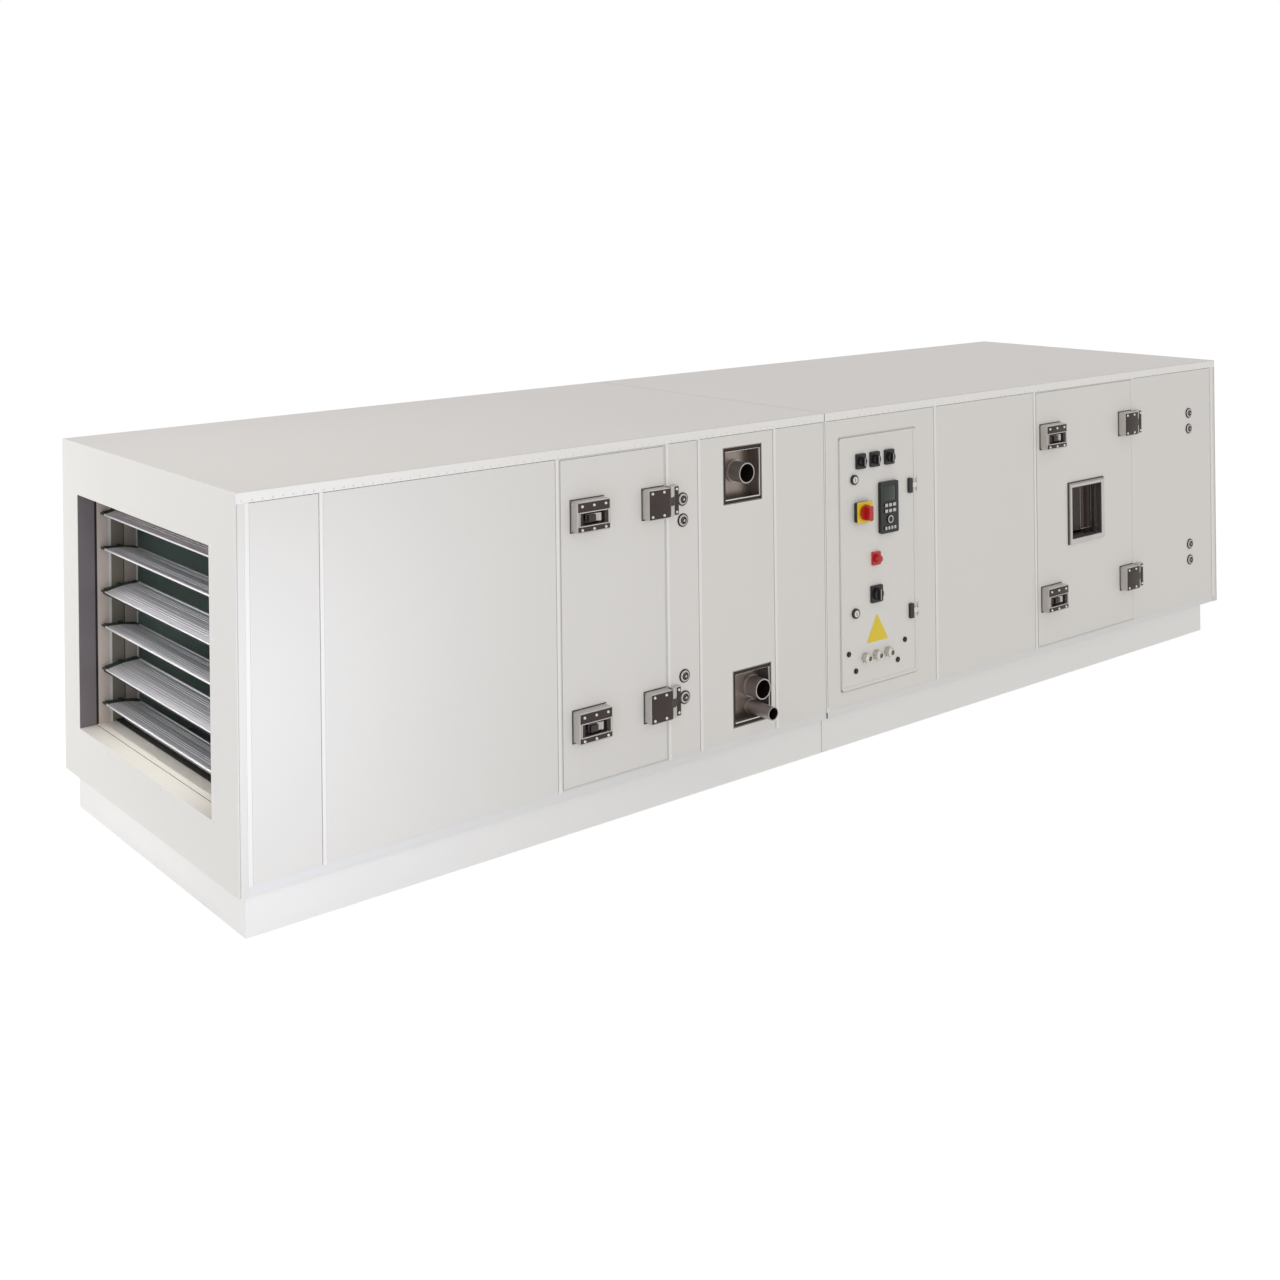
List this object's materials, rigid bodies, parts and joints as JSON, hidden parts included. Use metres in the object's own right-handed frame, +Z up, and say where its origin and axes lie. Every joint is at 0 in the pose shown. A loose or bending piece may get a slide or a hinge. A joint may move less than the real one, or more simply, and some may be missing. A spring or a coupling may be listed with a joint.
{
  "type": "air handling unit",
  "caption": "Long double-skin air handling unit on a low base, with an intake damper in one end, latched access doors, coil pipe connections and a control door on its service face",
  "frame": {"origin": "on the floor under the middle of the whole unit", "axes": "+X along the unit from the intake end to the discharge end, +Y from the service face to the back, +Z up"},
  "size_m": [4.36, 1.252, 1.105],
  "materials": {
    "white_paint": "white powder coat",
    "roof_paint": "warm grey-white coating",
    "base_paint": "pale grey-white coating",
    "galvanised": "galvanised sheet",
    "aluminium": "mill finish extrusion",
    "damper_paint": "beige coating",
    "stainless": "bright stainless sheet",
    "pipe_steel": "bare steel tube",
    "black_plastic": "black moulded plastic",
    "grey_casting": "bright zinc die casting",
    "filter_cloth": "pleated filter cloth",
    "motor_paint": "dark grey paint",
    "wheel_paint": "blue-grey paint",
    "glass": "clear pane",
    "yellow_plastic": "yellow moulded plastic",
    "red_plastic": "red moulded plastic",
    "nickel": "nickel plated brass",
    "rubber": "cellular rubber"
  },
  "bodies": {
    "casing": {"base_long_rails": "base_paint", "base_cross_rails": "base_paint", "corner_posts": "white_paint", "frame_rails": "white_paint", "mullions": "white_paint", "joint_gasket": "rubber", "floor_panels": "galvanised", "roof_panels": "roof_paint", "back_panels": "white_paint", "intake_end_panel": "white_paint", "discharge_end_panel": "white_paint", "discharge_flange": "galvanised", "front_panels": "white_paint", "coil_panel": "white_paint", "control_bay_panel": "white_paint", "control_box": "galvanised", "damper_frame": "damper_paint", "filter_frame": "galvanised", "filter_media": "filter_cloth", "coil_block": "galvanised", "pipe_pockets": "stainless", "coil_pipes": "pipe_steel", "drain_pipe": "pipe_steel", "fan_bulkhead": "galvanised", "fan_wheel": "wheel_paint", "fan_motor": "motor_paint", "fan_frame": "galvanised", "measuring_ports": "grey_casting", "hinge_brackets": "grey_casting"},
    "filter_door": {"filter_door": "white_paint", "filter_door_latches": "grey_casting", "filter_door_hinges": "grey_casting"},
    "fan_door": {"fan_door": "white_paint", "fan_door_latches": "grey_casting", "fan_door_hinges": "grey_casting", "window_frame": "aluminium", "window_pane": "glass"},
    "control_door": {"control_door": "white_paint", "control_door_hinges": "black_plastic", "main_switch_plate": "yellow_plastic", "operator_panel": "black_plastic", "pilot_lamp": "red_plastic", "selector_switch": "black_plastic", "cam_switches": "black_plastic", "door_locks": "nickel", "cable_glands": "nickel", "blanking_plugs": "black_plastic"},
    "main_switch": {"main_switch_knob": "red_plastic"},
    "filter_lever_upper": {"filter_lever_upper": "grey_casting"},
    "filter_lever_lower": {"filter_lever_lower": "grey_casting"},
    "fan_lever_upper": {"fan_lever_upper": "grey_casting"},
    "fan_lever_lower": {"fan_lever_lower": "grey_casting"},
    "damper_blade_1": {"damper_blade_1": "aluminium"},
    "damper_blade_2": {"damper_blade_2": "aluminium"},
    "damper_blade_3": {"damper_blade_3": "aluminium"},
    "damper_blade_4": {"damper_blade_4": "aluminium"},
    "damper_blade_5": {"damper_blade_5": "aluminium"},
    "damper_blade_6": {"damper_blade_6": "aluminium"}
  },
  "joints": [
    {"name": "filter_door_hinge", "type": "hinge", "parent": "casing", "child": "filter_door", "pos_m": [-0.808, -0.583, 0.61], "axis": [0, 0, 1], "range_deg": [0, 110]},
    {"name": "fan_door_hinge", "type": "hinge", "parent": "casing", "child": "fan_door", "pos_m": [1.562, -0.583, 0.61], "axis": [0, 0, 1], "range_deg": [0, 110]},
    {"name": "control_door_hinge", "type": "hinge", "parent": "casing", "child": "control_door", "pos_m": [0.292, -0.574, 0.606], "axis": [0, 0, 1], "range_deg": [0, 110]},
    {"name": "main_switch_turn", "type": "hinge", "parent": "control_door", "child": "main_switch", "pos_m": [0.02246, -0.574, 0.76532], "axis": [0, 1, 0], "range_deg": [0, 90]},
    {"name": "filter_lever_upper_pivot", "type": "hinge", "parent": "filter_door", "child": "filter_lever_upper", "pos_m": [-1.078, -0.5845, 0.903], "axis": [0, 0, 1], "range_deg": [0, 60]},
    {"name": "filter_lever_lower_pivot", "type": "hinge", "parent": "filter_door", "child": "filter_lever_lower", "pos_m": [-1.078, -0.5845, 0.307], "axis": [0, 0, 1], "range_deg": [0, 60]},
    {"name": "fan_lever_upper_pivot", "type": "hinge", "parent": "fan_door", "child": "fan_lever_upper", "pos_m": [1.065, -0.5845, 0.903], "axis": [0, 0, 1], "range_deg": [0, 60]},
    {"name": "fan_lever_lower_pivot", "type": "hinge", "parent": "fan_door", "child": "fan_lever_lower", "pos_m": [1.065, -0.5845, 0.307], "axis": [0, 0, 1], "range_deg": [0, 60]},
    {"name": "damper_blade_6_turn", "type": "hinge", "parent": "casing", "child": "damper_blade_6", "pos_m": [-2.0595, 0.0475, 0.8955], "axis": [0, -1, 0], "range_deg": [-5, 60]},
    {"name": "damper_blade_5_turn", "type": "hinge", "parent": "casing", "child": "damper_blade_5", "pos_m": [-2.0595, 0.0475, 0.7805], "axis": [0, 1, 0], "range_deg": [-5, 60]},
    {"name": "damper_blade_4_turn", "type": "hinge", "parent": "casing", "child": "damper_blade_4", "pos_m": [-2.0595, 0.0475, 0.6655], "axis": [0, -1, 0], "range_deg": [-5, 60]},
    {"name": "damper_blade_3_turn", "type": "hinge", "parent": "casing", "child": "damper_blade_3", "pos_m": [-2.0595, 0.0475, 0.5505], "axis": [0, 1, 0], "range_deg": [-5, 60]},
    {"name": "damper_blade_2_turn", "type": "hinge", "parent": "casing", "child": "damper_blade_2", "pos_m": [-2.0595, 0.0475, 0.4355], "axis": [0, -1, 0], "range_deg": [-5, 60]},
    {"name": "damper_blade_1_turn", "type": "hinge", "parent": "casing", "child": "damper_blade_1", "pos_m": [-2.0595, 0.0475, 0.3205], "axis": [0, 1, 0], "range_deg": [-5, 60]}
  ],
  "couplings": [
    {"joint": "damper_blade_5_turn", "follows": "damper_blade_6_turn", "ratio": 1},
    {"joint": "damper_blade_4_turn", "follows": "damper_blade_6_turn", "ratio": 1},
    {"joint": "damper_blade_3_turn", "follows": "damper_blade_6_turn", "ratio": 1},
    {"joint": "damper_blade_2_turn", "follows": "damper_blade_6_turn", "ratio": 1},
    {"joint": "damper_blade_1_turn", "follows": "damper_blade_6_turn", "ratio": 1}
  ]
}
